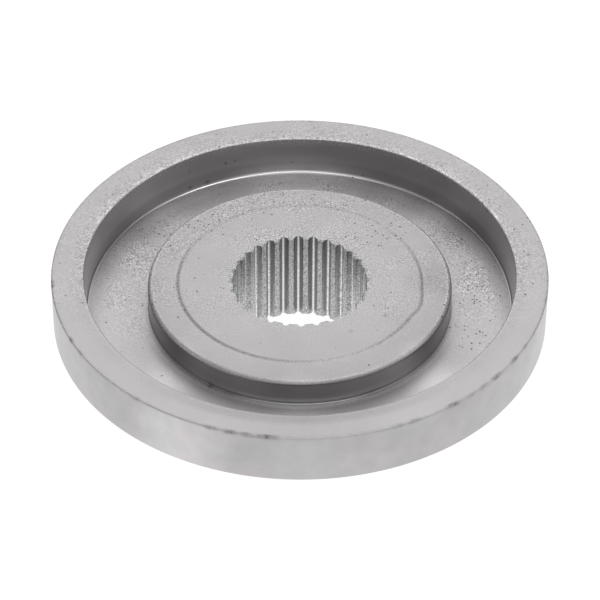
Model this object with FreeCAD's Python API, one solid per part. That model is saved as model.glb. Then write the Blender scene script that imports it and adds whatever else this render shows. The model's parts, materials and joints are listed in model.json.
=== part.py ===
import FreeCAD, Part
import math
import os

# A mower blade adapter, one piece of pressed and sintered steel.
# A dished flange carries a hub with a splined bore.
# The spindle shaft comes from above, through the spline, and the blade sits underneath, centred on the hub.
# Units are millimetres and degrees. +Z is the spindle axis, towards the dished side.
# The origin is on the axis, at the end face of the hub.

# Flange and rim
RIM_D = 105.0  # outside diameter
RIM_WALL = 6.8  # width of the rim's top, before its edges are broken
WEB = 3.5  # channel floor down to the blade seat
CHANNEL_DEPTH = 9.1  # rim top down to the channel floor
SEAT_CHAMFER_H = 1.3  # height of the chamfer round the blade seat
SEAT_CHAMFER_W = 1.8  # width of the same chamfer, which is flatter than 45 degrees
RIM_DRAFT = 2.0  # taper of the rim's inside, from vertical

# Boss inside the dish
BOSS_D = 64.5  # outside diameter, measured at its top
BOSS_H = 5.7  # channel floor up to the boss's lower land
BOSS_DRAFT = 0.5  # taper of the boss's outside, from vertical
FACE_D = 52.2  # diameter of the raised bearing face, at the foot of its step
FACE_STEP = 0.3  # height of the bearing face above the land
FACE_SLOPE = 0.6  # width of the sloping edge between the two

# Pilot hub under the flange
HUB_D = 42.0  # diameter that centres the blade
HUB_H = 12.0  # blade seat down to the hub's end face
HUB_CHAMFER = 1.2  # chamfer that leads the blade on

# Roundings and bevels where faces meet
RIM_OUTER_BEVEL = 0.3  # rim top, outer edge
RIM_INNER_BEVEL = 0.25  # rim top, inner edge
ROLL_W = 1.9  # width of the worn slope that leads down to that edge
ROLL_H = 0.2  # how far the slope drops
CHANNEL_FILLET = 0.5  # channel floor into the rim
BOSS_FOOT_BEVEL = 0.35  # channel floor into the boss
BOSS_ROUND = 0.7  # boss, outer edge of its land
HUB_FOOT_BEVEL = 0.4  # blade seat into the hub

# Splined bore
TEETH = 28
MODULE = 1.0  # pitch diameter for each tooth
PRESSURE_ANGLE = 37.5
SPLINE_DEPTH = 1.0  # tooth crest out to the bottom of a groove
GROOVE_W = 2.1  # width of a groove at the pitch circle
ROOT_RISE = 0.19  # height of the rounded bottom of a groove, past its flanks
FIRST_GROOVE = 1.3  # angle of the first groove from +X
LEAD_IN = 0.3  # chamfer on the tooth crests at both ends of the bore

# How far a cutting shape runs past the faces that it cuts
OVERRUN = 1.0
# Points along one involute flank
FLANK_POINTS = 4

# Heights of the faces, from the hub's end face up
SEAT_Z = HUB_H
FLOOR_Z = SEAT_Z + WEB
RIM_Z = FLOOR_Z + CHANNEL_DEPTH
LAND_Z = FLOOR_Z + BOSS_H
FACE_Z = LAND_Z + FACE_STEP

# Radii of the spline: the tooth crests lie on the pitch circle
PITCH_R = TEETH * MODULE / 2
CREST_R = PITCH_R
ROOT_R = CREST_R + SPLINE_DEPTH


class Corner:
    """A corner of the turned section: sharp, rounded to a radius, or bevelled by a width."""

    def __init__(self, radius, height, rounding=0.0, bevel=0.0):
        self.point = FreeCAD.Vector(radius, 0, height)
        self.rounding = rounding
        self.bevel = bevel

    def edges(self, before, after):
        """Give the corner's own edges and the two points where the straight sides end."""
        back = (before.point - self.point).normalize()
        ahead = (after.point - self.point).normalize()
        half = back.getAngle(ahead) / 2
        setback = self.bevel
        if self.rounding:
            setback = self.rounding / math.tan(half)
        start = self.point + back * setback
        end = self.point + ahead * setback
        if self.rounding:
            inward = (back + ahead).normalize()
            middle = self.point + inward * (self.rounding / math.sin(half) - self.rounding)
            return [Part.Arc(start, middle, end).toShape()], start, end
        if self.bevel:
            return [Part.makeLine(start, end)], start, end
        return [], start, end


def section_outline(corners):
    """Join the corners with straight sides into one closed outline in the XZ plane."""
    count = len(corners)
    joined = [corners[i].edges(corners[i - 1], corners[(i + 1) % count]) for i in range(count)]
    outline = []
    for i, (corner_edges, _, end) in enumerate(joined):
        next_start = joined[(i + 1) % count][1]
        outline.extend(corner_edges)
        outline.append(Part.makeLine(end, next_start))
    return Part.Wire(outline)


def turned_blank():
    """Revolve the flange, rim, boss and hub, with a plain bore on the crest circle."""
    rim_r = RIM_D / 2
    boss_r = BOSS_D / 2
    face_r = FACE_D / 2
    hub_r = HUB_D / 2
    inner_r = rim_r - RIM_WALL
    rim_taper = CHANNEL_DEPTH * math.tan(math.radians(RIM_DRAFT))
    boss_taper = BOSS_H * math.tan(math.radians(BOSS_DRAFT))
    section = section_outline([
        Corner(CREST_R, 0, bevel=LEAD_IN),
        Corner(hub_r, 0, bevel=HUB_CHAMFER),
        Corner(hub_r, SEAT_Z, bevel=HUB_FOOT_BEVEL),
        Corner(rim_r - SEAT_CHAMFER_W, SEAT_Z),
        Corner(rim_r, SEAT_Z + SEAT_CHAMFER_H),
        Corner(rim_r, RIM_Z, bevel=RIM_OUTER_BEVEL),
        Corner(inner_r + ROLL_W, RIM_Z),
        Corner(inner_r, RIM_Z - ROLL_H, bevel=RIM_INNER_BEVEL),
        Corner(inner_r - rim_taper, FLOOR_Z, rounding=CHANNEL_FILLET),
        Corner(boss_r + boss_taper, FLOOR_Z, bevel=BOSS_FOOT_BEVEL),
        Corner(boss_r, LAND_Z, rounding=BOSS_ROUND),
        Corner(face_r, LAND_Z),
        Corner(face_r - FACE_SLOPE, FACE_Z),
        Corner(CREST_R, FACE_Z, bevel=LEAD_IN),
    ])
    return Part.Face(section).revolve(FreeCAD.Vector(0, 0, 0), FreeCAD.Vector(0, 0, 1), 360)


def involute(angle):
    """Give tan(angle) - angle, the roll of an involute at a pressure angle in radians."""
    return math.tan(angle) - angle


def flank_half_angle(radius):
    """Give half the angle that a groove spans at a radius, between its involute flanks."""
    pressure = math.radians(PRESSURE_ANGLE)
    base_r = PITCH_R * math.cos(pressure)
    local = math.acos(base_r / radius)
    return GROOVE_W / (2 * PITCH_R) - (involute(local) - involute(pressure))


def polar(radius, angle):
    """Place a point on the plane of the bore's end, from a radius and an angle in radians."""
    return FreeCAD.Vector(radius * math.cos(angle), radius * math.sin(angle), 0)


def groove_cutter():
    """Extrude one groove: two involute flanks, a rounded bottom and a closed inside."""
    flank_end = ROOT_R - ROOT_RISE
    step = (flank_end - CREST_R) / (FLANK_POINTS - 1)
    radii = [CREST_R + step * i for i in range(FLANK_POINTS)]
    lower = [polar(r, -flank_half_angle(r)) for r in radii]
    upper = [polar(r, flank_half_angle(r)) for r in reversed(radii)]
    inside_r = CREST_R - OVERRUN
    inside = [polar(inside_r, flank_half_angle(CREST_R)), polar(inside_r, -flank_half_angle(CREST_R))]
    flank_in = Part.BSplineCurve()
    flank_in.interpolate(lower)
    flank_out = Part.BSplineCurve()
    flank_out.interpolate(upper)
    outline = Part.Wire([
        flank_in.toShape(),
        Part.Arc(lower[-1], polar(ROOT_R, 0), upper[0]).toShape(),
        flank_out.toShape(),
        Part.makeLine(upper[-1], inside[0]),
        Part.makeLine(inside[0], inside[1]),
        Part.makeLine(inside[1], lower[0]),
    ])
    outline.translate(FreeCAD.Vector(0, 0, -OVERRUN))
    return Part.Face(outline).extrude(FreeCAD.Vector(0, 0, FACE_Z + 2 * OVERRUN))


def spline_cutters():
    """Repeat the groove round the axis, one for each tooth."""
    groove = groove_cutter()
    cutters = []
    for i in range(TEETH):
        turned = groove.copy()
        angle = FIRST_GROOVE + i * 360 / TEETH
        turned.rotate(FreeCAD.Vector(0, 0, 0), FreeCAD.Vector(0, 0, 1), angle)
        cutters.append(turned)
    return cutters


def blade_adapter():
    """Cut the spline's grooves through the turned blank."""
    return turned_blank().cut(spline_cutters())


def main():
    """Build the adapter and write its STEP file."""
    os.makedirs("parts", exist_ok=True)
    adapter = blade_adapter()
    if adapter.ShapeType != "Solid":
        adapter = adapter.Solids[0]
    adapter.exportStep("parts/blade_adapter.step")
    box = adapter.optimalBoundingBox()
    print("blade_adapter: %.2f x %.2f x %.2f mm" % (box.XLength, box.YLength, box.ZLength))
    print("volume %.1f mm3, valid %s, faces %d" % (adapter.Volume, adapter.isValid(), len(adapter.Faces)))


main()
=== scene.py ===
import json
import logging
import math
from dataclasses import dataclass, field
from enum import Enum

import bpy
import numpy as np
from mathutils import Matrix, Vector


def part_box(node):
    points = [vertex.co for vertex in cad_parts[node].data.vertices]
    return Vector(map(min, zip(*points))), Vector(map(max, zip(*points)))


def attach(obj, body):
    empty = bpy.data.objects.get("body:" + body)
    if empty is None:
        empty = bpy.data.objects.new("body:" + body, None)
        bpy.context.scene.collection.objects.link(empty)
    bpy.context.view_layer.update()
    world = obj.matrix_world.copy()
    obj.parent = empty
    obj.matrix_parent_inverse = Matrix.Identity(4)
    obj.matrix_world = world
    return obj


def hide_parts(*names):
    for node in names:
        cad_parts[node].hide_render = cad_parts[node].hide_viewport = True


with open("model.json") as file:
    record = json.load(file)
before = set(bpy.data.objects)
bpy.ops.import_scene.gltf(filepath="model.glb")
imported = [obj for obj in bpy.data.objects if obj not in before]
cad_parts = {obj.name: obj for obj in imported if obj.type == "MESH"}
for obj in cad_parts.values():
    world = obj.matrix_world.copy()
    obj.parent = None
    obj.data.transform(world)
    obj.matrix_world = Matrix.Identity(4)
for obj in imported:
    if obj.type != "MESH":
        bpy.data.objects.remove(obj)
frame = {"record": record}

Node = bpy.types.Node
Socket = bpy.types.NodeSocket
Tree = bpy.types.NodeTree

# Sizes below are millimetres and degrees, and the scene is in metres
MM = 0.001
# The CAD node that this script dresses
NODE = "blade_adapter"
LOG = logging.getLogger("blade_adapter")
# Setting of a Map Range node that eases in and out
SMOOTH = {"interpolation_type": "SMOOTHSTEP"}
# Between these depths the part's front gives way to its sides, and its sides to its back
GRAIN_TURN = (-24.0, 2.0)
BACK_TURN = (2.0, 20.0)
# Up to this share of its reach an edge's mask, with the painted light and shade it carries, is full
FULL_SHARE = 0.3
# Points this far above the channel's floor, or inside the outer wall, still count as lying on it
NEAR_FLOOR = 0.4
NEAR_WALL = 0.3
# Rings of the mesh closer than the first of these are one, and pushes shorter than the second are left out
SAME = 0.01
LEAST_PUSH = 0.001


def mount(name: str) -> dict:
    """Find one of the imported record's mounts by its name."""
    return next(m for m in frame["record"]["mounts"] if m["name"] == name)


def linear(hex_colour: str) -> tuple[float, float, float, float]:
    """Turn an sRGB hex colour into the linear colour that a shader takes.

    Args:
        hex_colour: Six hex digits after a hash sign.

    Returns:
        Red, green, blue and an alpha of one.
    """
    channels = [int(hex_colour[i:i + 2], 16) / 255 for i in (1, 3, 5)]
    curve = [c / 12.92 if c <= 0.04045 else ((c + 0.055) / 1.055) ** 2.4 for c in channels]
    return curve[0], curve[1], curve[2], 1.0


def per_metre(size_mm: float) -> float:
    """Give the texture scale at which one feature of a pattern is this long."""
    return 1 / (size_mm * MM)


def start_alone() -> None:
    """Leave edit mode and deselect everything, so that an operator acts on new work only."""
    if bpy.context.object and bpy.context.object.mode != "OBJECT":
        bpy.ops.object.mode_set(mode="OBJECT")
    bpy.ops.object.select_all(action="DESELECT")


@dataclass(frozen=True)
class Patch:
    """A round patch of the surface, as seen from above, and how strongly something shows in it.

    With a height it is a spot of the surface instead.
    """

    x: float
    y: float
    reach: float
    share: float
    height: float = 0.0


@dataclass(frozen=True)
class RimMark:
    """A dark smear on the outer edge of the rim's top."""

    angle: float
    reach: float
    strength: float

    def patch(self, rim_r: float) -> Patch:
        """Give the smear as a patch that is centred on the rim's edge."""
        turn = math.radians(self.angle)
        return Patch(rim_r * math.cos(turn), rim_r * math.sin(turn), self.reach, self.strength)


@dataclass(frozen=True)
class Fleck:
    """A small dark spot of residue."""

    radius: float
    angle: float
    height: float
    reach: float
    strength: float

    def patch(self) -> Patch:
        """Give the fleck as a patch with a height."""
        turn = math.radians(self.angle)
        x, y = self.radius * math.cos(turn), self.radius * math.sin(turn)
        return Patch(x, y, self.reach, self.strength, self.height)


@dataclass(frozen=True)
class Pattern:
    """A cloudy pattern: the size of its clouds, the levels between which it turns, and to what."""

    size_mm: float
    levels: tuple[float, float]
    values: tuple[float, float]
    detail: float = 3.0
    roughness: float = 0.5
    easing: str = "LINEAR"


@dataclass(frozen=True)
class EdgeFinishAndPaintedLight:
    """An edge or a corner that runs round the part, with painted light and shade, roughness and grain that
    differ from the faces beside it.

    The shade is painted light and shade, with a value for the part's front, one for its sides
    where they differ from its back, and one for its back. The grain has one for its front and one
    for all the rest. The turn says between which depths the front's shade gives way to the next one.
    """

    radius: float
    height: float
    reach: float
    shade: tuple[float, ...]
    roughness: float
    grain: tuple[float, float]
    turn: tuple[float, float] = GRAIN_TURN


# Where open pores crowd together
PORE_PATCHES = (
    Patch(16, 16, 9, 0.6),
    Patch(-22, 18, 10, 0.42),
    Patch(-8, 26, 8, 0.45),
    Patch(8, 27, 8, 0.26),
    Patch(38, 2, 9, 0.5),
    Patch(36, -11, 9, 0.4),
    Patch(31, 24, 10, 0.28),
    Patch(-33, 20, 12, 0.4),
    Patch(-36, 0, 9, 0.2),
    Patch(46.5, 15, 4, 0.5),
    Patch(46.5, 4, 4, 0.4),
    Patch(46, -6, 4, 0.3),
    Patch(-40, 27, 10, 0.14),
)
# Dark smears along the rim's outer edge
RIM_MARKS = (
    RimMark(186, 2.6, 0.9),
    RimMark(193, 1.4, 0.35),
    RimMark(206, 1.8, 0.7),
    RimMark(211, 1.4, 0.4),
    RimMark(231, 2.0, 0.35),
    RimMark(250.5, 2.4, 0.55),
    RimMark(255, 2.6, 0.8),
    RimMark(258.5, 2.6, 0.75),
    RimMark(263, 3.6, 1.0),
    RimMark(292, 2.2, 0.4),
    RimMark(296, 2.4, 0.5),
    RimMark(306, 2.6, 0.85),
    RimMark(311.5, 1.8, 0.4),
    RimMark(315.5, 2.0, 0.5),
    RimMark(320, 2.8, 0.9),
    RimMark(327, 2.2, 0.8),
    RimMark(332, 1.6, 0.4),
    RimMark(349, 1.4, 0.5),
)
# Patches of painted light and shade on the pressed faces: the channel's floor lighter in most places where
# the walls shade it, the faces at the part's front darker, and a duller patch on the land at the right
FACE_PAINTED_LIGHT_AND_TONE = (
    Patch(28.5, 1, 9, -0.13),
    Patch(0, -50, 26, -0.08),
    Patch(0, -26, 18, -0.04),
    Patch(24, -17, 12, -0.05),
    Patch(22, 36, 8, 0.18),
    Patch(-23, 36, 8, 0.14),
    Patch(-39, 18, 8, 0.1),
    Patch(0, 41, 10, -0.06),
    Patch(27, -25, 9, 0.4),
    Patch(-27, -25, 9, 0.32),
    Patch(0, -36, 9, 0.28),
    Patch(29.5, 29.5, 8, 0.38),
    Patch(-29.5, 29.5, 8, 0.28),
    Patch(42.4, 17.9, 0.6, 0.5),
)
# Patches of painted light and shade on the walls: a painted reflection of the table on the outer wall at
# the front left, painted shade on the boss's wall at the front, and painted light and shade on the outer
# wall's left, the rim's inner wall and the bore
WALL_PAINTED_LIGHT = (
    Patch(-24.6, -46.4, 15, 0.3),
    Patch(-51.5, -11, 12, -0.07),
    Patch(13, 5, 5, 0.15),
    Patch(26, -20, 11, -0.36),
    Patch(-26, -20, 11, -0.28),
    Patch(0, -32, 12, -0.22),
    Patch(32, 32, 20, -0.13),
    Patch(-8, 46, 18, 0.16),
)
# Where the pressed faces have hardly any grain
SMOOTH_PATCHES = (
    Patch(-20.5, 7, 9, 1.0),
    Patch(-20.5, -1, 9, 0.9),
    Patch(25.5, 15, 6, 1.0),
    Patch(19, 10, 6, 0.9),
    Patch(5.5, 21.5, 5, 0.8),
    Patch(-5.5, 21.5, 5, 0.7),
    Patch(-14.5, 18, 4, 0.8),
    Patch(37, 0.5, 5, 0.8),
    Patch(22, -2, 8, 0.6),
    Patch(0, 39.5, 9, 0.85),
    Patch(13.5, 37, 9, 0.85),
    Patch(24.3, 31, 8.5, 0.75),
    Patch(-13.5, 37, 9, 0.8),
    Patch(-24.3, 31, 8.5, 0.5),
)
# Flecks of residue at the boss's foot, on the rim's inner wall, in the corner below it and on top
FLECKS = (
    Fleck(32.6, 235.6, 15.7, 0.9, 0.85),
    Fleck(45.4, 122.8, 16.5, 0.8, 0.9),
    Fleck(45.4, 117.3, 16.4, 0.9, 0.9),
    Fleck(45.5, 122.8, 20.9, 0.45, 0.6),
    Fleck(45.5, 111.5, 20.1, 0.6, 0.8),
    Fleck(45.5, 108.7, 20.3, 0.5, 0.7),
    Fleck(45.4, 92.3, 18.1, 0.45, 0.6),
    Fleck(45.4, 72.0, 16.2, 0.5, 0.6),
    Fleck(45.5, 161.0, 21.7, 0.5, 0.7),
    Fleck(45.6, 27.1, 23.9, 0.5, 0.8),
    Fleck(45.5, 35.2, 19.2, 0.5, 0.6),
    Fleck(27.1, 130.5, 21.2, 0.5, 0.95),
    Fleck(29.5, 130, 21.2, 0.5, 0.9),
    Fleck(25.9, 119, 21.3, 0.45, 0.9),
    Fleck(27.7, 102, 21.2, 0.5, 0.8),
    Fleck(25.7, 36.5, 21.4, 0.55, 0.9),
    Fleck(28, 45, 21.2, 0.45, 0.9),
    Fleck(22.7, 58.5, 21.5, 0.4, 0.9),
    Fleck(21.2, 327.5, 21.5, 0.8, 0.5),
    Fleck(19.6, 303, 21.5, 0.9, 0.3),
    Fleck(48.8, 6, 24.6, 0.6, 0.7),
    Fleck(46.5, 155.5, 24.6, 0.6, 0.6),
    Fleck(47, 138, 24.6, 0.7, 0.5),
    Fleck(46.5, 180, 24.6, 1.0, 0.35),
)


class Ground:
    """The nodes of the steel's material, and the sockets that say where on the part a point lies.

    Place is the point itself, across is it without its height, and section is its radius and
    height. Depth runs from front to back, and aside to both sides. Flat, bore, crest, back, floor
    and outer say how much of a point is on a pressed face, in the bore, on the crests of its
    teeth, away from the part's front, at the sides of the channel's floor and on the outer wall.
    """

    def __init__(self, tree: Tree, steel: "SinteredSteel") -> None:
        """Work out the places.

        Args:
            tree: Node tree that gets the nodes.
            steel: The finish, which knows the part's sizes.
        """
        self.tree = tree
        self.place = self.add("TexCoord").outputs["Object"]
        axes = self.add("SeparateXYZ", {0: self.place}).outputs
        self.height = axes["Z"]
        self.depth = axes["Y"]
        self.across = self.add("CombineXYZ", {"X": axes["X"], "Y": axes["Y"]}).outputs[0]
        self.radius = self.add("VectorMath", {"operation": "LENGTH", 0: self.across}).outputs["Value"]
        self.section = self.add("CombineXYZ", {"X": self.radius, "Y": self.height}).outputs[0]
        self.aside = self.add("Math", {"operation": "ABSOLUTE", 0: axes["X"]}).outputs[0]
        self.back = self.add("MapRange", SMOOTH | {
            "Value": self.depth, "From Min": steel.front_depths[0] * MM,
            "From Max": steel.front_depths[1] * MM, "To Min": steel.front_grain, "To Max": 1.0,
        }).outputs[0]

        normal = self.add("NewGeometry").outputs["True Normal"]
        facing = self.add("SeparateXYZ", {0: normal}).outputs["Z"]
        tilt = self.add("Math", {"operation": "ABSOLUTE", 0: facing}).outputs[0]
        self.flat = self.add("MapRange", SMOOTH | {
            "Value": tilt, "From Min": steel.tilts[0], "From Max": steel.tilts[1]}).outputs[0]
        upright = self.add("Math", {"operation": "SUBTRACT", 0: 1.0, 1: self.flat}).outputs[0]

        self.bore = self.add("Math", {
            "operation": "LESS_THAN", 0: self.radius, 1: (steel.bore_r + steel.bore_band) * MM}).outputs[0]
        self.crest = self.add("MapRange", {
            "Value": self.radius, "From Min": (steel.bore_r + steel.crest_band[0]) * MM,
            "From Max": (steel.bore_r + steel.crest_band[1]) * MM}).outputs[0]
        low = self.add("Math", {
            "operation": "LESS_THAN", 0: self.height, 1: (steel.floor_z + NEAR_FLOOR) * MM}).outputs[0]
        side = self.add("MapRange", SMOOTH | {
            "Value": self.aside, "From Min": steel.floor_sides[0] * MM,
            "From Max": steel.floor_sides[1] * MM}).outputs[0]
        self.floor = self.add("Math", {"operation": "MULTIPLY", 0: low, 1: side}).outputs[0]
        outside = self.add("Math", {
            "operation": "GREATER_THAN", 0: self.radius, 1: (steel.rim_r - NEAR_WALL) * MM}).outputs[0]
        self.outer = self.add("Math", {"operation": "MULTIPLY", 0: outside, 1: upright}).outputs[0]

    def add(self, kind: str, settings: dict | None = None) -> Node:
        """Add a shader node, set it and link its inputs.

        Args:
            kind: Blender's name for the kind of node, without "ShaderNode" in front.
            settings: Values for its properties by name, and values or sockets for its inputs by
                name or number.

        Returns:
            The new node.
        """
        node = self.tree.nodes.new("ShaderNode" + kind)
        for key, value in (settings or {}).items():
            if isinstance(value, Socket):
                self.tree.links.new(value, node.inputs[key])
            elif isinstance(key, int) or key in node.inputs:
                node.inputs[key].default_value = value
            else:
                setattr(node, key, value)
        return node

    def near(self, radius: float, height: float, reach: float) -> Socket:
        """Find what lies close to a circle round the spindle axis.

        Args:
            radius: The circle's radius.
            height: The circle's height.
            reach: How far from the circle the mask ends.

        Returns:
            Socket with 1 on the circle and 0 past the reach.
        """
        away = self.add("VectorMath", {
            "operation": "DISTANCE", 0: self.section, 1: (radius * MM, height * MM, 0),
        }).outputs["Value"]
        return self.add("MapRange", SMOOTH | {
            "Value": away, "From Min": reach * MM, "From Max": reach * FULL_SHARE * MM}).outputs[0]

    def from_front(self, values: tuple[float, ...], turn: tuple[float, float]) -> Socket:
        """Change a value from the part's front, by way of its sides, to its back.

        Args:
            values: The value in front, the one at the sides if there is one, and the one at the back.
            turn: Between which depths the front's value changes to the next one.

        Returns:
            Socket with the value.
        """
        value = self.add("MapRange", SMOOTH | {
            "Value": self.depth, "From Min": turn[0] * MM, "From Max": turn[1] * MM,
            "To Min": values[0], "To Max": values[1]}).outputs[0]
        if len(values) < 3:
            return value
        return self.add("MapRange", SMOOTH | {
            "Value": self.depth, "From Min": BACK_TURN[0] * MM, "From Max": BACK_TURN[1] * MM,
            "To Min": value, "To Max": values[2]}).outputs[0]

    def scatter(self, seen: Socket, patches: tuple[Patch, ...], start: Socket | float,
                operation: str) -> Socket:
        """Lay patches over a value.

        Args:
            seen: Where a point lies: across for patches, or place for spots with a height.
            patches: The patches to lay.
            start: Socket or number to begin with.
            operation: The math operation that lays a patch over what is there.

        Returns:
            Socket with the value after all the patches.
        """
        value = start
        for patch in patches:
            away = self.add("VectorMath", {
                "operation": "DISTANCE", 0: seen, 1: (patch.x * MM, patch.y * MM, patch.height * MM),
            }).outputs["Value"]
            inside = self.add("MapRange", SMOOTH | {
                "Value": away, "From Min": patch.reach * MM, "From Max": 0.0, "To Max": patch.share,
            }).outputs[0]
            value = self.add("Math", {"operation": operation, 0: value, 1: inside}).outputs[0]
        return value

    def clouds(self, pattern: Pattern) -> Socket:
        """Draw a cloudy pattern.

        Args:
            pattern: The pattern to draw.

        Returns:
            Socket that wanders between the pattern's two values.
        """
        noise = self.add("TexNoise", {
            "Vector": self.place, "Scale": per_metre(pattern.size_mm), "Detail": pattern.detail,
            "Roughness": pattern.roughness}).outputs["Fac"]
        return self.add("MapRange", {
            "interpolation_type": pattern.easing, "Value": noise,
            "From Min": pattern.levels[0], "From Max": pattern.levels[1],
            "To Min": pattern.values[0], "To Max": pattern.values[1]}).outputs[0]


@dataclass(frozen=True)
class SinteredSteel:
    """Plain carbon steel powder, pressed in a die, sintered and left bare.

    The faces that the punches made are matte and light grey, sparkle faintly where single
    grains catch the light, and have small dark pores. The walls slid along the die, which
    left them smoother and softly clouded, and the inside corners are smoother still. Light and
    shade are also painted into the grey: painted highlights in the inside corners and along the
    bore's groove bottoms, and painted shade at the walls' feet, on the bore's flanks and at the
    part's front.
    """

    rim_r: float
    rim_z: float
    floor_z: float
    bore_r: float
    edges: tuple[EdgeFinishAndPaintedLight, ...]
    name: str = "pressed sintered steel"
    grey: str = "#BFBCBD"
    warm_grey: str = "#C0BCBD"
    cool_grey: str = "#BCBCBC"
    pore: str = "#4A4745"
    # Colour of the dark smears along the rim and of the flecks
    dark_mark: str = "#747170"
    roughness: float = 0.46
    wall_roughness: float = 0.32
    # How much of the cool grey the inner walls have
    wall_coolness: float = 0.4
    # How squarely a wall may face up or down at most, and a pressed face has to at least
    tilts: tuple[float, float] = (0.25, 0.8)
    # Real grains are about 0.1 mm, too fine for the picture, so they are drawn this coarse
    grain_mm: float = 0.33
    grain_levels: tuple[float, float] = (0.3, 0.7)
    grain_contrast: float = 0.5
    # Grainier and smoother places take turns
    grain_places: Pattern = Pattern(11.0, (0.35, 0.62), (0.35, 1.0), detail=1.0)
    # Share of the grain that is left at the part's front, on the rim's top and in the grooves
    front_grain: float = 0.14
    rim_grain: float = 0.36
    groove_grain: float = 0.35
    # Depths over which the front's share ends, and gaps below the rim's top over which its share starts
    front_depths: tuple[float, float] = (-22.0, 4.0)
    rim_depths: tuple[float, float] = (1.0, 0.5)
    # Distances to the left and right over which the grooves get the full grain
    groove_sides: tuple[float, float] = (5.0, 10.0)
    # How deep the bump makes a pore
    relief_mm: float = 0.04
    relief_strength: float = 0.5
    # Pores are drawn coarser than real ones for the same reason: this share of the cells holds one
    # away from where they crowd, with a radius between these shares of a cell
    pore_cell_mm: float = 0.62
    pore_share: float = 0.035
    pore_sizes: tuple[float, float] = (0.16, 0.46)
    # Share of its radius that is darkest, and how much of the pore's colour shows there
    pore_core: float = 0.6
    pore_cover: float = 0.85
    # Faint clouds all over and the outer wall's mottling, as factors for the steel's grey
    haze: Pattern = Pattern(7.0, (0.3, 0.7), (0.97, 1.03), roughness=0.55)
    mottle: Pattern = Pattern(4.5, (0.32, 0.68), (0.95, 1.05), roughness=0.6)
    # Clouds between the cool and the warm grey on the outer wall
    cloud_mm: float = 10.0
    cloud_levels: tuple[float, float] = (0.38, 0.62)
    # Dark marks along the rim's outer edge, in broken smears
    smear_breaks: Pattern = Pattern(1.3, (0.36, 0.6), (0.45, 1.0), detail=2.0, easing="SMOOTHSTEP")
    smear_reach: float = 1.0
    between_smears: float = 0.08
    # How light the pressed faces are at each radius, as a share of the steel's own grey
    face_shades: tuple[tuple[float, float], ...] = (
        (14.0, 1.03), (20.0, 1.015), (25.2, 0.985), (27.0, 0.975), (29.5, 0.945), (31.4, 0.92),
        (33.4, 0.99), (38.0, 0.99), (44.0, 1.02), (47.0, 1.045), (52.0, 1.055),
    )
    shade_top: float = 1.1
    # Painted light: the channel's floor is lighter at the part's left and right, past these distances
    floor_painted_light: float = 0.15
    floor_sides: tuple[float, float] = (30.0, 43.0)
    # Painted shade on the walls: how light they are at their tops and at their feet, and how far from
    # the rim's top and the channel's floor that is reached. The outer wall is darkened against the
    # glowing table that it reflects, less at its foot, and the inner walls get darker towards their feet
    outer_painted_shade: float = 0.83
    outer_foot_painted_shade: float = 0.89
    outer_foot_depth: float = 2.0
    inner_painted_shade: float = 0.97
    inner_foot_painted_shade: float = 0.73
    inner_top_gap: float = 1.0
    inner_foot_gap: float = 0.5
    # Painted light and shade in the bore: painted shade on the crests and flanks, painted highlights along
    # the groove bottoms, and where they meet, past the crests
    crest_painted_shade: float = 0.79
    flank_painted_shade: float = 0.66
    groove_painted_highlight: float = 1.4
    crest_band: tuple[float, float] = (0.12, 0.04)
    groove_band: tuple[float, float] = (0.9, 0.98)
    bore_band: float = 1.1
    # Painted light: the bore gets lighter towards its foot, most at its sides, and its mouth does so at its
    # sides only
    bore_heights: tuple[float, float] = (2.0, 21.0)
    bore_foot_painted_light: tuple[float, float] = (1.15, 1.5)
    foot_sides: tuple[float, float] = (9.0, 13.0)
    mouth_painted_light: tuple[float, float] = (1.0, 1.4)
    mouth_sides: tuple[float, float] = (12.6, 14.2)

    def pores(self, on: Ground) -> Socket:
        """Scatter open pores, crowded where the patches say.

        Args:
            on: The material's nodes and places.

        Returns:
            Socket with how much a pore darkens the steel, and 0 outside the pores.
        """
        share = on.add("Math", {"operation": "MULTIPLY", 0: on.back, 1: self.pore_share}).outputs[0]
        share = on.scatter(on.across, PORE_PATCHES, share, "MAXIMUM")
        share = on.add("Math", {"operation": "MULTIPLY", 0: share, 1: on.flat}).outputs[0]
        cells = on.add("TexVoronoi", {"Vector": on.place, "Scale": per_metre(self.pore_cell_mm)})
        # Each cell's random colour says whether it holds a pore, and how large a one
        chance = on.add("SeparateColor", {0: cells.outputs["Color"]}).outputs
        is_open = on.add("Math", {"operation": "LESS_THAN", 0: chance[0], 1: share}).outputs[0]
        size = on.add("MapRange", {
            "Value": chance[1], "To Min": self.pore_sizes[0], "To Max": self.pore_sizes[1]}).outputs[0]
        inside = on.add("Math", {"operation": "DIVIDE", 0: cells.outputs["Distance"], 1: size}).outputs[0]
        dark = on.add("MapRange", SMOOTH | {
            "Value": inside, "From Min": 1.0, "From Max": self.pore_core, "To Max": self.pore_cover,
        }).outputs[0]
        return on.add("Math", {"operation": "MULTIPLY", 0: dark, 1: is_open}).outputs[0]

    def face_lightness(self, on: Ground) -> Socket:
        """Work out how light the pressed faces are, with their painted light and shade.

        Args:
            on: The material's nodes and places.

        Returns:
            Socket with a factor for the steel's grey.
        """
        along = on.add("Math", {"operation": "DIVIDE", 0: on.radius, 1: self.rim_r * MM}).outputs[0]
        rings = on.add("ValToRGB", {"Fac": along})
        stops = rings.color_ramp.elements
        while len(stops) < len(self.face_shades):
            stops.new(1.0)
        for stop, (radius, shade) in zip(stops, self.face_shades):
            stop.position = radius / self.rim_r
            level = shade / self.shade_top
            stop.color = (level, level, level, 1.0)
        faces = on.add("Math", {
            "operation": "MULTIPLY", 0: rings.outputs["Color"], 1: self.shade_top}).outputs[0]
        # Patches of painted light and shade on the faces
        faces = on.scatter(on.across, FACE_PAINTED_LIGHT_AND_TONE, faces, "ADD")
        # Painted light on the channel's floor at the left and right
        return on.add("Math", {
            "operation": "MULTIPLY_ADD", 0: on.floor, 1: self.floor_painted_light, 2: faces}).outputs[0]

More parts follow.
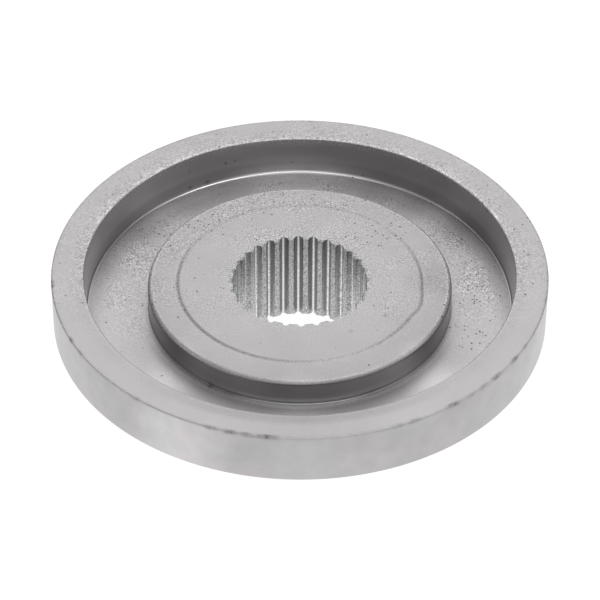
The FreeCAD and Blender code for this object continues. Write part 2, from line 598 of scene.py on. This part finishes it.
    def bore_lightness(self, on: Ground) -> Socket:
        """Work out the painted light and shade in the bore: on its crests, flanks and groove bottoms, and
        towards its foot and mouth.

        Args:
            on: The material's nodes and places.

        Returns:
            Socket with a factor that is 1 outside the bore.
        """
        # Painted shade on the crests and flanks, painted highlights along the groove bottoms
        shade = on.add("MapRange", SMOOTH | {
            "Value": on.radius, "From Min": (self.bore_r + self.groove_band[0]) * MM,
            "From Max": (self.bore_r + self.groove_band[1]) * MM,
            "To Min": self.flank_painted_shade, "To Max": self.groove_painted_highlight}).outputs[0]
        shade = on.add("MapRange", {
            "Value": on.crest, "To Min": shade, "To Max": self.crest_painted_shade}).outputs[0]
        # Painted light towards the bore's foot and at the sides of its mouth
        ends = []
        for sides, shades in ((self.foot_sides, self.bore_foot_painted_light), (self.mouth_sides, self.mouth_painted_light)):
            ends.append(on.add("MapRange", {
                "Value": on.aside, "From Min": sides[0] * MM, "From Max": sides[1] * MM,
                "To Min": shades[0], "To Max": shades[1]}).outputs[0])
        rising = on.add("MapRange", {
            "Value": on.height, "From Min": self.bore_heights[0] * MM,
            "From Max": self.bore_heights[1] * MM, "To Min": ends[0], "To Max": ends[1]}).outputs[0]
        shade = on.add("Math", {"operation": "MULTIPLY", 0: shade, 1: rising}).outputs[0]
        return on.add("MapRange", {"Value": on.bore, "To Min": 1.0, "To Max": shade}).outputs[0]

    def wall_lightness(self, on: Ground) -> Socket:
        """Work out the painted light and shade of the walls, from their feet to their tops, and in the
        bore.

        Args:
            on: The material's nodes and places.

        Returns:
            Socket with a factor for the steel's grey.
        """
        # Painted shade on the outer and inner walls, from their feet to their tops
        outer = on.add("MapRange", {
            "Value": on.height, "From Min": (self.floor_z - self.outer_foot_depth) * MM,
            "From Max": self.rim_z * MM,
            "To Min": self.outer_foot_painted_shade, "To Max": self.outer_painted_shade}).outputs[0]
        inner = on.add("MapRange", {
            "Value": on.height, "From Min": (self.floor_z + self.inner_foot_gap) * MM,
            "From Max": (self.rim_z - self.inner_top_gap) * MM,
            "To Min": self.inner_foot_painted_shade, "To Max": self.inner_painted_shade}).outputs[0]
        inner = on.add("MapRange", {"Value": on.bore, "To Min": inner, "To Max": 1.0}).outputs[0]
        rising = on.add("MapRange", {"Value": on.outer, "To Min": inner, "To Max": outer}).outputs[0]
        # Patches of painted light and shade on the walls
        walls = on.scatter(on.across, WALL_PAINTED_LIGHT, 1.0, "ADD")
        for factor in (rising, self.bore_lightness(on)):
            walls = on.add("Math", {"operation": "MULTIPLY", 0: walls, 1: factor}).outputs[0]
        return walls

    def lightness(self, on: Ground) -> Socket:
        """Work out how light the steel is from place to place.

        Args:
            on: The material's nodes and places.

        Returns:
            Socket with a factor for the steel's grey.
        """
        shade = on.add("MapRange", {
            "Value": on.flat, "To Min": self.wall_lightness(on),
            "To Max": self.face_lightness(on)}).outputs[0]
        mottle = on.add("MapRange", {
            "Value": on.outer, "To Min": 1.0, "To Max": on.clouds(self.mottle),
        }).outputs[0]
        clouds = on.add("Math", {"operation": "MULTIPLY", 0: on.clouds(self.haze), 1: mottle}).outputs[0]
        return on.add("Math", {"operation": "MULTIPLY", 0: shade, 1: clouds}).outputs[0]

    def tint(self, on: Ground) -> Socket:
        """Mix the greys: cooler on the walls, coolest in the bore, and clouded on the outer wall.

        Args:
            on: The material's nodes and places.

        Returns:
            Socket with the colour.
        """
        cool = on.add("MapRange", {
            "Value": on.flat, "To Min": self.wall_coolness, "To Max": 0.0}).outputs[0]
        cool = on.add("Math", {"operation": "MAXIMUM", 0: cool, 1: on.bore}).outputs[0]
        inside = on.add("Mix", {
            "data_type": "RGBA", 0: cool, 6: linear(self.grey), 7: linear(self.cool_grey)}).outputs[2]
        cloud = on.add("TexNoise", {
            "Vector": on.place, "Scale": per_metre(self.cloud_mm), "Detail": 3.0,
            "Roughness": 0.5}).outputs["Fac"]
        clouded = on.add("ValToRGB", {"Fac": cloud})
        stops = zip(clouded.color_ramp.elements, self.cloud_levels, (self.cool_grey, self.warm_grey))
        for stop, level, grey in stops:
            stop.position = level
            stop.color = linear(grey)
        return on.add("Mix", {
            "data_type": "RGBA", 0: on.outer, 6: inside, 7: clouded.outputs["Color"]}).outputs[2]

    def frost(self, on: Ground) -> Socket:
        """Work out how much of the grain shows: most on the faces at the back and in the bore.

        Args:
            on: The material's nodes and places.

        Returns:
            Socket with 0 for smooth steel and 1 for full grain.
        """
        frost = on.clouds(self.grain_places)
        smooth = on.scatter(on.across, SMOOTH_PATCHES, 0.0, "MAXIMUM")
        rough = on.add("Math", {"operation": "SUBTRACT", 0: 1.0, 1: smooth}).outputs[0]
        rim = on.add("MapRange", {
            "Value": on.height, "From Min": (self.rim_z - self.rim_depths[0]) * MM,
            "From Max": (self.rim_z - self.rim_depths[1]) * MM,
            "To Min": 1.0, "To Max": self.rim_grain}).outputs[0]
        for mask in (rough, rim, on.back, on.flat):
            frost = on.add("Math", {"operation": "MULTIPLY", 0: frost, 1: mask}).outputs[0]
        # In the bore the crests are grainy all round, and the grooves only at its sides
        cut = on.add("MapRange", {
            "Value": on.aside, "From Min": self.groove_sides[0] * MM,
            "From Max": self.groove_sides[1] * MM, "To Min": self.groove_grain, "To Max": 1.0}).outputs[0]
        cut = on.add("Math", {"operation": "MAXIMUM", 0: cut, 1: on.crest}).outputs[0]
        cut = on.add("Math", {"operation": "MULTIPLY", 0: cut, 1: on.bore}).outputs[0]
        return on.add("Math", {"operation": "MAXIMUM", 0: frost, 1: cut}).outputs[0]

    def smears(self, on: Ground) -> Socket:
        """Work out where dark marks show: broken smears on the rim's outer edge, and single flecks of
        residue.

        Args:
            on: The material's nodes and places.

        Returns:
            Socket with how much residue covers the steel.
        """
        marks = tuple(mark.patch(self.rim_r) for mark in RIM_MARKS)
        amount = on.scatter(on.across, marks, self.between_smears, "MAXIMUM")
        edge = on.near(self.rim_r, self.rim_z, self.smear_reach)
        for mask in (edge, on.clouds(self.smear_breaks)):
            amount = on.add("Math", {"operation": "MULTIPLY", 0: amount, 1: mask}).outputs[0]
        flecks = tuple(fleck.patch() for fleck in FLECKS)
        return on.scatter(on.place, flecks, amount, "MAXIMUM")

    def material(self) -> bpy.types.Material:
        """Build the material.

        Returns:
            A metal with grain, pores, clouded walls, dark smears along the rim, and painted light and
            shade.
        """
        made = bpy.data.materials.new(self.name)
        made.use_nodes = True
        tree = made.node_tree
        tree.nodes.clear()
        on = Ground(tree, self)
        shade = self.lightness(on)
        frost = self.frost(on)
        polish = on.add("MapRange", {
            "Value": on.flat, "To Min": self.wall_roughness, "To Max": self.roughness}).outputs[0]
        # Each edge lays its painted light and shade over the grey, and its roughness and grain over the
        # steel's
        for edge in self.edges:
            near = on.near(edge.radius, edge.height, edge.reach)
            factor = on.from_front(edge.shade, edge.turn)
            factor = on.add("MapRange", {"Value": near, "To Min": 1.0, "To Max": factor}).outputs[0]
            shade = on.add("Math", {"operation": "MULTIPLY", 0: shade, 1: factor}).outputs[0]
            polish = on.add("MapRange", {
                "Value": near, "To Min": polish, "To Max": edge.roughness}).outputs[0]
            grainy = on.from_front(edge.grain, GRAIN_TURN)
            frost = on.add("MapRange", {"Value": near, "To Min": frost, "To Max": grainy}).outputs[0]

        grain = on.add("TexNoise", {
            "Vector": on.place, "Scale": per_metre(self.grain_mm), "Detail": 1.0,
            "Roughness": 0.5}).outputs["Fac"]
        speckle = on.add("MapRange", {
            "Value": grain, "From Min": self.grain_levels[0], "From Max": self.grain_levels[1],
            "To Min": -self.grain_contrast, "To Max": self.grain_contrast}).outputs[0]
        speckle = on.add("Math", {"operation": "MULTIPLY_ADD", 0: speckle, 1: frost, 2: 1.0}).outputs[0]
        shade = on.add("Math", {"operation": "MULTIPLY", 0: shade, 1: speckle}).outputs[0]
        colour = on.add("VectorMath", {
            "operation": "SCALE", 0: self.tint(on), "Scale": shade}).outputs["Vector"]
        pores = self.pores(on)
        for over, amount in ((self.pore, pores), (self.dark_mark, self.smears(on))):
            colour = on.add("Mix", {"data_type": "RGBA", 0: amount, 6: colour, 7: linear(over)}).outputs[2]

        height = on.add("Math", {"operation": "MULTIPLY", 0: grain, 1: frost}).outputs[0]
        height = on.add("Math", {"operation": "SUBTRACT", 0: height, 1: pores}).outputs[0]
        bump = on.add("Bump", {
            "Strength": self.relief_strength, "Distance": self.relief_mm * MM, "Height": height})
        steel = on.add("BsdfPrincipled", {
            "Metallic": 1.0, "Base Color": colour, "Roughness": polish, "Normal": bump.outputs["Normal"]})
        on.add("OutputMaterial", {"Surface": steel.outputs["BSDF"]})
        return made


@dataclass(frozen=True)
class LightTable:
    """Translucent acrylic sheet lit from below, which keeps the ground pale under the part.

    Its own glow makes it look white. The grey is how much of the lamps' light it throws back.
    """

    name: str = "lit acrylic"
    grey: str = "#606060"
    light: str = "#FFFFFF"
    glow: float = 0.95
    roughness: float = 0.6

    def material(self) -> bpy.types.Material:
        """Build the material.

        Returns:
            A matte sheet that also gives off light.
        """
        made = bpy.data.materials.new(self.name)
        made.use_nodes = True
        shader = made.node_tree.nodes["Principled BSDF"]
        shader.inputs["Base Color"].default_value = linear(self.grey)
        shader.inputs["Roughness"].default_value = self.roughness
        shader.inputs["Emission Color"].default_value = linear(self.light)
        shader.inputs["Emission Strength"].default_value = self.glow
        return made


class Form(Enum):
    """How a corner of the turned section is finished."""

    SHARP = "sharp"
    ROUND = "round"
    BEVEL = "bevel"


@dataclass(frozen=True)
class Corner:
    """One corner of the turned section, in millimetres."""

    radius: float
    height: float
    form: Form = Form.SHARP
    size: float = 0.0
    steps: int = 4

    def points(self, before: "Corner", after: "Corner") -> list[tuple[float, float]]:
        """Give the points that replace the corner.

        Args:
            before: The corner that the outline comes from.
            after: The corner that it goes to.

        Returns:
            Radius and height of each point, in the outline's order.
        """
        here = Vector((self.radius, self.height))
        if self.form is Form.SHARP:
            return [tuple(here)]
        back = (Vector((before.radius, before.height)) - here).normalized()
        ahead = (Vector((after.radius, after.height)) - here).normalized()
        if self.form is Form.BEVEL:
            return [tuple(here + back * self.size), tuple(here + ahead * self.size)]
        half = back.angle(ahead) / 2
        centre = here + (back + ahead).normalized() * (self.size / math.sin(half))
        start = here + back * (self.size / math.tan(half)) - centre
        end = here + ahead * (self.size / math.tan(half)) - centre
        turned = [start.slerp(end, i / self.steps).normalized() for i in range(self.steps + 1)]
        return [tuple(centre + direction * self.size) for direction in turned]


@dataclass(frozen=True)
class Spline:
    """The grooves of the bore, with involute flanks and rounded bottoms."""

    crest_r: float
    teeth: int = 28
    depth: float = 1.0
    groove_w: float = 2.1
    pressure_angle: float = 37.5
    root_rise: float = 0.19
    first_groove: float = 1.3
    # Points of the bore's wall for each groove, and halvings that find one on a flank
    steps: int = 24
    halvings: int = 40

    def half_angle(self, radius: float) -> float:
        """Give half the angle between a groove's flanks.

        Args:
            radius: Where to measure it.

        Returns:
            The angle in radians.
        """
        pressure = math.radians(self.pressure_angle)
        local = math.acos(self.crest_r * math.cos(pressure) / radius)
        roll = (math.tan(local) - local) - (math.tan(pressure) - pressure)
        return self.groove_w / (2 * self.crest_r) - roll

    def wall_radius(self, angle: float) -> float:
        """Give the radius of the bore's wall at an angle from a groove's middle.

        Args:
            angle: The angle in radians.

        Returns:
            The radius, from the crest to the bottom of the groove.
        """
        flank_end = self.crest_r + self.depth - self.root_rise
        root_angle = self.half_angle(flank_end)
        if abs(angle) <= root_angle:
            return self.crest_r + self.depth - self.root_rise * (angle / root_angle) ** 2
        low = self.crest_r
        high = flank_end
        if abs(angle) >= self.half_angle(low):
            return low
        for _ in range(self.halvings):
            middle = (low + high) / 2
            if self.half_angle(middle) > abs(angle):
                low = middle
            else:
                high = middle
        return low


@dataclass
class Adapter:
    """The blade adapter: a blank turned round the spindle axis, then broached."""

    # The rim, hub and faces come from the frame, and these are the sizes that it doesn't state
    rim_wall: float = 6.9
    channel_depth: float = 9.2
    rim_draft: float = 2.0
    roll_w: float = 1.9
    roll_h: float = 0.06
    seat_chamfer_h: float = 1.3
    seat_chamfer_w: float = 1.8
    boss_d: float = 64.5
    boss_draft: float = 0.5
    face_d: float = 52.4
    face_step: float = 0.3
    face_slope: float = 0.7
    hub_chamfer: float = 1.2
    lead_in: float = 0.3
    # The raised face bulges outwards a little on one side
    bulge_angle: float = -17.0
    bulge_half_angle: float = 14.0
    bulge: float = 0.7
    bulge_reach: float = 1.6
    # Widest gap between two rings of the mesh, and the gap to the ring that holds a rounding's end
    ring_gap: float = 2.6
    hold_gap: float = 0.06
    # Edges of the mesh that turn by less than this are shaded smooth
    smooth_angle: float = 32.0

    def __post_init__(self) -> None:
        """Read the main sizes from the frame."""
        low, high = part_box(NODE)
        self.rim_r = (high.x - low.x) / 2 / MM
        self.rim_z = high.z / MM
        self.seat_z = mount("blade_seat")["pos_m"][2] / MM
        self.face_z = mount("bearing_face")["pos_m"][2] / MM
        self.hub_r = mount("pilot_hub")["dims"]["r_mm"]
        self.spline = Spline(crest_r=mount("splined_bore")["dims"]["r_mm"])
        self.floor_z = self.rim_z - self.channel_depth
        self.land_z = self.face_z - self.face_step
        self.inner_r = self.rim_r - self.rim_wall
        self.boss_r = self.boss_d / 2
        self.face_r = self.face_d / 2

    def corners(self) -> list[Corner]:
        """Give the corners of the turned section, from the bore's foot outwards and back.

        Returns:
            The corners, anticlockwise as seen with the axis on the left.
        """
        rim_taper = self.channel_depth * math.tan(math.radians(self.rim_draft))
        boss_taper = (self.land_z - self.floor_z) * math.tan(math.radians(self.boss_draft))
        return [
            Corner(self.spline.crest_r, 0, Form.BEVEL, self.lead_in),
            Corner(self.hub_r, 0, Form.BEVEL, self.hub_chamfer),
            Corner(self.hub_r, self.seat_z, Form.ROUND, 0.4, 4),
            Corner(self.rim_r - self.seat_chamfer_w, self.seat_z, Form.ROUND, 0.4, 3),
            Corner(self.rim_r, self.seat_z + self.seat_chamfer_h, Form.ROUND, 0.3, 3),
            Corner(self.rim_r, self.rim_z, Form.ROUND, 0.25, 4),
            Corner(self.inner_r + self.roll_w, self.rim_z, Form.ROUND, 12.0, 6),
            Corner(self.inner_r, self.rim_z - self.roll_h, Form.ROUND, 0.25, 5),
            Corner(self.inner_r - rim_taper, self.floor_z, Form.ROUND, 0.3, 7),
            Corner(self.boss_r + boss_taper, self.floor_z, Form.ROUND, 0.12, 4),
            Corner(self.boss_r, self.land_z, Form.ROUND, 1.0, 8),
            Corner(self.face_r, self.land_z, Form.ROUND, 1.3, 4),
            Corner(self.face_r - self.face_slope, self.face_z, Form.ROUND, 1.3, 4),
            Corner(self.spline.crest_r, self.face_z, Form.BEVEL, self.lead_in),
        ]

    def edge_finish_and_painted_light(self) -> tuple[EdgeFinishAndPaintedLight, ...]:
        """Say how the edges and corners look: the painted light and shade on each, which takes away
        highlights in some places and adds them in others, and their roughness and grain.

        Returns:
            The edges' painted light and shade, roughness and grain, each laid over the ones before it.
        """
        step_r = self.face_r - self.face_slope / 2
        step_z = self.land_z + self.face_step / 2
        corner_r = self.inner_r - 0.4
        foot_r = self.boss_r + 0.9
        return (
            # The rim's top: painted shade on its outer edge and, at the front, on the part that rolls
            # inwards, and painted light on its inner edge at the back
            EdgeFinishAndPaintedLight(self.rim_r, self.rim_z, 0.6, (0.97, 0.98, 0.98), 0.5, (0.1, 0.5)),
            EdgeFinishAndPaintedLight(self.inner_r + 1.0, self.rim_z, 2.6, (0.86, 0.97, 0.97), 0.46, (0.1, 0.6),
                     (-46, -36)),
            EdgeFinishAndPaintedLight(self.inner_r + 0.4, self.rim_z, 0.45, (1.05, 1.0, 1.14), 0.46, (0.1, 0.9)),
            # The boss's top edge with painted light at its sides and back, painted shade at the very front
            # on the top of the wall below it, and the step round the raised face, with painted shade at the
            # front and painted light at the back
            EdgeFinishAndPaintedLight(self.boss_r - 0.5, self.land_z, 0.75, (1.05, 1.33, 1.36), 0.5, (0.35, 0.9)),
            EdgeFinishAndPaintedLight(self.boss_r - 0.15, self.land_z - 0.5, 0.55, (0.6, 1.0, 1.0), 0.5, (0.3, 0.9),
                     (-32, -28)),
            EdgeFinishAndPaintedLight(step_r, step_z, 0.5, (0.86, 1.02, 1.7), 0.5, (0.4, 0.7)),
            # Painted light on the floor beside the rim at the back, a painted highlight in the corner
            # between the two at the back, and painted shade on the rim's wall above it at the back
            EdgeFinishAndPaintedLight(self.inner_r - 2.2, self.floor_z - 0.8, 2.8, (1.0, 1.15), 0.46, (0.1, 0.25),
                     (14, 30)),
            EdgeFinishAndPaintedLight(corner_r, self.floor_z + 0.1, 0.6, (0.95, 1.75), 0.27, (0.0, 0.0), (24, 44)),
            EdgeFinishAndPaintedLight(self.inner_r - 0.2, self.floor_z + 1.8, 2.2, (1.0, 0.78), 0.32, (0.0, 0.0),
                     (0, 26)),
            # Painted shade on the foot of the boss's wall at the front, and a painted highlight on the
            # floor that it stands on, at the front
            EdgeFinishAndPaintedLight(self.boss_r - 0.25, self.floor_z + 0.35, 0.6, (0.42, 0.9), 0.36, (0.1, 0.3),
                     (-30, -24)),
            EdgeFinishAndPaintedLight(foot_r, self.floor_z - 0.3, 1.0, (1.5, 1.0), 0.42, (0.2, 0.3), (-24, -8)),
            EdgeFinishAndPaintedLight(foot_r - 0.45, self.floor_z - 0.4, 0.8, (2.6, 1.0), 0.42, (0.2, 0.3),
                     (-32.5, -29)),
        )

    def rings(self) -> list[tuple[float, float]]:
        """Give the rings of the mesh along the section.

        Returns:
            Radius and height of each ring, in metres.
        """
        corners = self.corners()
        count = len(corners)
        rounded = [c.points(corners[i - 1], corners[(i + 1) % count]) for i, c in enumerate(corners)]
        made = []
        for i, outline in enumerate(rounded):
            made += outline
            start = Vector(outline[-1])
            side = Vector(rounded[(i + 1) % count][0]) - start
            # The bore's wall and the shortest sides need no rings between their ends
            if side.length < 4 * self.hold_gap or i == count - 1:
                continue
            hold = self.hold_gap / side.length
            parts = max(1, math.ceil(side.length / self.ring_gap))
            # Next to the bore there is none either, because the grooves reach past it
            near_start = [] if i == 0 else [hold]
            near_end = [] if i == count - 2 else [1 - hold]
            stops = near_start + [k / parts for k in range(1, parts)] + near_end
            made += [tuple(start + side * stop) for stop in stops]
        return [(r * MM, z * MM) for r, z in made]

    def turn(self) -> bpy.types.Object:
        """Turn the blank: extrude a circle round the section and close it on itself.

        Returns:
            The blank, with a plain bore.
        """
        start_alone()
        rings = self.rings()
        radius, height = rings[0]
        bpy.ops.mesh.primitive_circle_add(
            vertices=self.spline.teeth * self.spline.steps,
            radius=radius,
            location=(0, 0, height),
            rotation=(0, 0, math.radians(self.spline.first_groove)),
        )
        blank = bpy.context.object
        blank.name = "adapter_body"
        bpy.ops.object.transform_apply(location=True, rotation=True, scale=True)
        bpy.ops.object.mode_set(mode="EDIT")
        bpy.ops.mesh.select_all(action="SELECT")
        for (r0, z0), (r1, z1) in zip(rings, rings[1:] + rings[:1]):
            bpy.ops.mesh.extrude_edges_move(TRANSFORM_OT_translate={"value": (0, 0, z1 - z0)})
            bpy.ops.transform.resize(value=(r1 / r0, r1 / r0, 1), center_override=(0, 0, z1))
        bpy.ops.mesh.select_all(action="SELECT")
        bpy.ops.mesh.remove_doubles(threshold=SAME * MM)
        bpy.ops.mesh.normals_make_consistent(inside=False)
        bpy.ops.object.mode_set(mode="OBJECT")
        return blank

    def broach(self, blank: bpy.types.Object) -> None:
        """Push the bore's wall out into the grooves.

        Args:
            blank: The turned blank.
        """
        spline = self.spline
        co = np.empty(len(blank.data.vertices) * 3)
        blank.data.vertices.foreach_get("co", co)
        co = co.reshape(-1, 3) / MM
        radius = np.hypot(co[:, 0], co[:, 1])
        step = 2 * math.pi / (spline.teeth * spline.steps)
        angle = np.arctan2(co[:, 1], co[:, 0]) - math.radians(spline.first_groove)
        place = np.round(angle / step).astype(int) % spline.steps
        place = np.minimum(place, spline.steps - place)
        for ring_r in (spline.crest_r, spline.crest_r + self.lead_in):
            wall = np.abs(radius - ring_r) < SAME
            for k in range(spline.steps // 2 + 1):
                target = spline.wall_radius(k * step)
                if target <= ring_r + LEAST_PUSH:
                    continue
                start_alone()
                blank.select_set(True)
                bpy.context.view_layer.objects.active = blank
                bpy.ops.object.mode_set(mode="EDIT")
                bpy.ops.mesh.select_mode(type="VERT")
                bpy.ops.mesh.select_all(action="DESELECT")
                bpy.ops.object.mode_set(mode="OBJECT")
                blank.data.vertices.foreach_set("select", wall & (place == k))
                bpy.ops.object.mode_set(mode="EDIT")
                growth = target / ring_r
                bpy.ops.transform.resize(value=(growth, growth, 1), center_override=(0, 0, 0))
        bpy.ops.object.mode_set(mode="OBJECT")

    def push_bulge(self, piece: bpy.types.Object) -> None:
        """Push the raised face's edge outwards where it bulges.

        Args:
            piece: The turned and broached part.
        """
        co = np.empty(len(piece.data.vertices) * 3)
        piece.data.vertices.foreach_get("co", co)
        co = co.reshape(-1, 3)
        radius = np.hypot(co[:, 0], co[:, 1])
        turn = np.degrees(np.arctan2(co[:, 1], co[:, 0])) - self.bulge_angle
        along = np.clip(1 - np.abs(turn) / self.bulge_half_angle, 0, 1)
        edge_r = self.face_r - self.face_slope / 2
        beside = np.clip(1 - (np.abs(radius / MM - edge_r) - self.face_slope) / self.bulge_reach, 0, 1)
        top = co[:, 2] > (self.land_z - SAME) * MM
        push = top * self.bulge * MM * np.sin(along * math.pi / 2) ** 2 * beside
        co[:, :2] *= (1 + push / np.maximum(radius, MM))[:, None]
        piece.data.vertices.foreach_set("co", co.ravel())
        piece.data.update()

    def build(self) -> bpy.types.Object:
        """Make the adapter and put it in the CAD node's place.

        Returns:
            The finished piece.
        """
        piece = self.turn()
        self.broach(piece)
        self.push_bulge(piece)
        start_alone()
        piece.select_set(True)
        bpy.context.view_layer.objects.active = piece
        bpy.ops.object.shade_smooth_by_angle(angle=math.radians(self.smooth_angle))
        piece.data.materials.clear()
        finish = SinteredSteel(self.rim_r, self.rim_z, self.floor_z, self.spline.crest_r, self.edge_finish_and_painted_light())
        piece.data.materials.append(finish.material())
        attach(piece, "root")
        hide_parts(NODE)
        return piece


@dataclass(frozen=True)
class Softbox:
    """A rectangular lamp that shines on the part, and is large enough to be soft."""

    name: str
    azimuth: float
    elevation: float
    width: float
    length: float
    watts: float
    # In metres, like the two sizes
    distance: float = 3.0

    def hang(self) -> None:
        """Hang the lamp and point it at the part."""
        lamp = bpy.data.lights.new(self.name, "AREA")
        lamp.shape = "RECTANGLE"
        lamp.size = self.width
        lamp.size_y = self.length
        lamp.energy = self.watts
        rise = math.radians(self.elevation)
        turn = math.radians(self.azimuth)
        away = Vector((math.cos(rise) * math.cos(turn), math.cos(rise) * math.sin(turn), math.sin(rise)))
        hung = bpy.data.objects.new(self.name, lamp)
        hung.matrix_world = (
            Matrix.Translation(away * self.distance) @ away.to_track_quat("Z", "Y").to_matrix().to_4x4()
        )
        bpy.context.scene.collection.objects.link(hung)


@dataclass
class Studio:
    """A pale lit table, soft light and the camera."""

    rim_z: float
    table: LightTable = field(default_factory=LightTable)
    # Side of the table, in metres
    table_size: float = 4.0
    room_light: float = 0.26
    white: str = "#FFFFFF"
    lamps: tuple[Softbox, ...] = (
        Softbox("back_low_softbox", 90, 28, 3.0, 1.0, 5.5),
        Softbox("back_softbox", 90, 45, 2.4, 0.7, 7.35),
        Softbox("back_high_softbox", 90, 62, 2.4, 0.8, 7.1),
        Softbox("overhead_softbox", 90, 78, 1.8, 0.6, 3.95),
        Softbox("left_reflector", 185, 12, 1.6, 1.0, 11.7),
        Softbox("right_reflector", -5, 12, 1.6, 1.0, 16.3),
        Softbox("right_softbox", 0, 68, 1.0, 0.9, 10.5),
        Softbox("front_fill", -90, 30, 2.6, 1.0, 27.2),
        Softbox("front_high_softbox", -90, 75, 2.6, 1.4, 9.75),
    )
    # The camera, as worked out from the ellipses of the photograph
    elevation: float = 40.25
    roll: float = 0.233
    distance: float = 619.0
    lens: float = 177.96
    sensor: float = 36.0
    nearest: float = 10.0
    aim_x: float = 0.054
    aim_y: float = -10.13

    def lay_table(self) -> None:
        """Lay the table under the part."""
        start_alone()
        bpy.ops.mesh.primitive_plane_add(size=self.table_size, location=(0, 0, 0))
        top = bpy.context.object
        top.name = "table"
        top.data.materials.append(self.table.material())

    def light(self) -> None:
        """Fill the room with even white light and hang the lamps."""
        world = bpy.data.worlds.new("studio")
        bpy.context.scene.world = world
        world.use_nodes = True
        sky = world.node_tree.nodes["Background"]
        sky.inputs["Color"].default_value = linear(self.white)
        sky.inputs["Strength"].default_value = self.room_light
        for lamp in self.lamps:
            lamp.hang()

    def place_camera(self) -> None:
        """Set the camera where the photograph was taken from."""
        rise = math.radians(self.elevation)
        turn = math.radians(self.roll)
        forward = Vector((0, math.cos(rise), -math.sin(rise)))
        level_up = Vector((0, math.sin(rise), math.cos(rise)))
        level_right = Vector((1, 0, 0))
        right = level_right * math.cos(turn) + level_up * math.sin(turn)
        up = level_up * math.cos(turn) - level_right * math.sin(turn)
        aim = Vector((self.aim_x, self.aim_y, self.rim_z)) * MM
        data = bpy.data.cameras.new("camera")
        data.lens = self.lens
        data.sensor_width = self.sensor
        data.clip_start = self.nearest * MM
        camera = bpy.data.objects.new("camera", data)
        bpy.context.scene.collection.objects.link(camera)
        turned = Matrix((right, up, -forward)).transposed().to_4x4()
        camera.matrix_world = Matrix.Translation(aim - forward * self.distance * MM) @ turned
        bpy.context.scene.camera = camera

    def build(self) -> None:
        """Set the whole studio up."""
        self.lay_table()
        self.light()
        self.place_camera()
        bpy.context.scene.view_settings.view_transform = "Standard"


def main() -> None:
    """Build the adapter and the studio, and report each piece."""
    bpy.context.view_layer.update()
    adapter = Adapter()
    piece = adapter.build()
    LOG.info("%s: %d faces", piece.name, len(piece.data.polygons))
    studio = Studio(rim_z=adapter.rim_z)
    studio.build()
    LOG.info("studio: table, lamps and camera")


if __name__ == "__main__":
    logging.basicConfig(level=logging.INFO, format="%(message)s")
    main()
